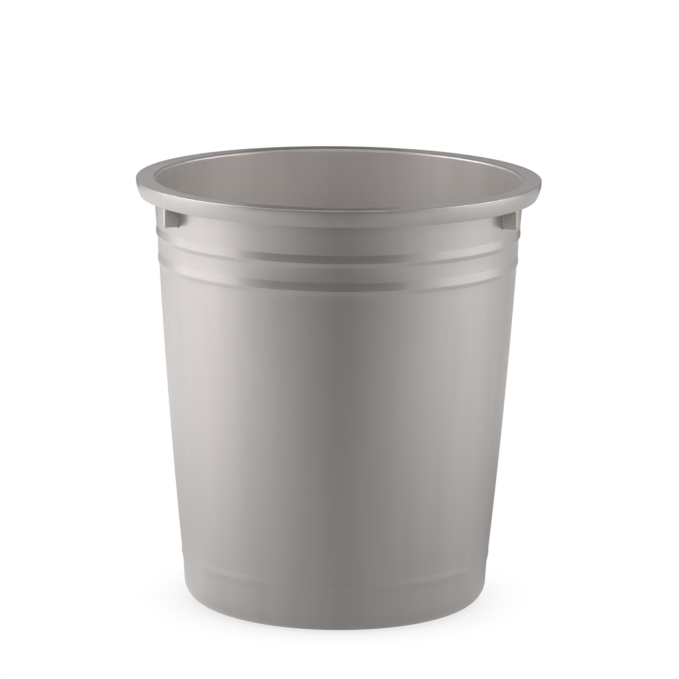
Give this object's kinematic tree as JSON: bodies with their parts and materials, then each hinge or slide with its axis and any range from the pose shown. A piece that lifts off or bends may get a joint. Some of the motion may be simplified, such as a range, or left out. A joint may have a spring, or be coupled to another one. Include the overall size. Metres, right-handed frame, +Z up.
{
  "type": "wastebasket",
  "caption": "Round tapered office wastebasket in silver-grey plastic, with a flat rim flange over a hanging skirt, ring bands below the rim and a bead above the base.",
  "frame": {"origin": "centre of the underside, on the floor the bin stands on", "axes": "+Z up along the tub's axis; +X and -X through the two grip zones, each between a pair of gussets; +Y away from the viewer of the front"},
  "size_m": [0.315, 0.315, 0.3355],
  "materials": {
    "silver_plastic": "satin silver-grey polypropylene with a faint pearl"
  },
  "bodies": {
    "root": {"bin_body": "silver_plastic"}
  },
  "joints": []
}
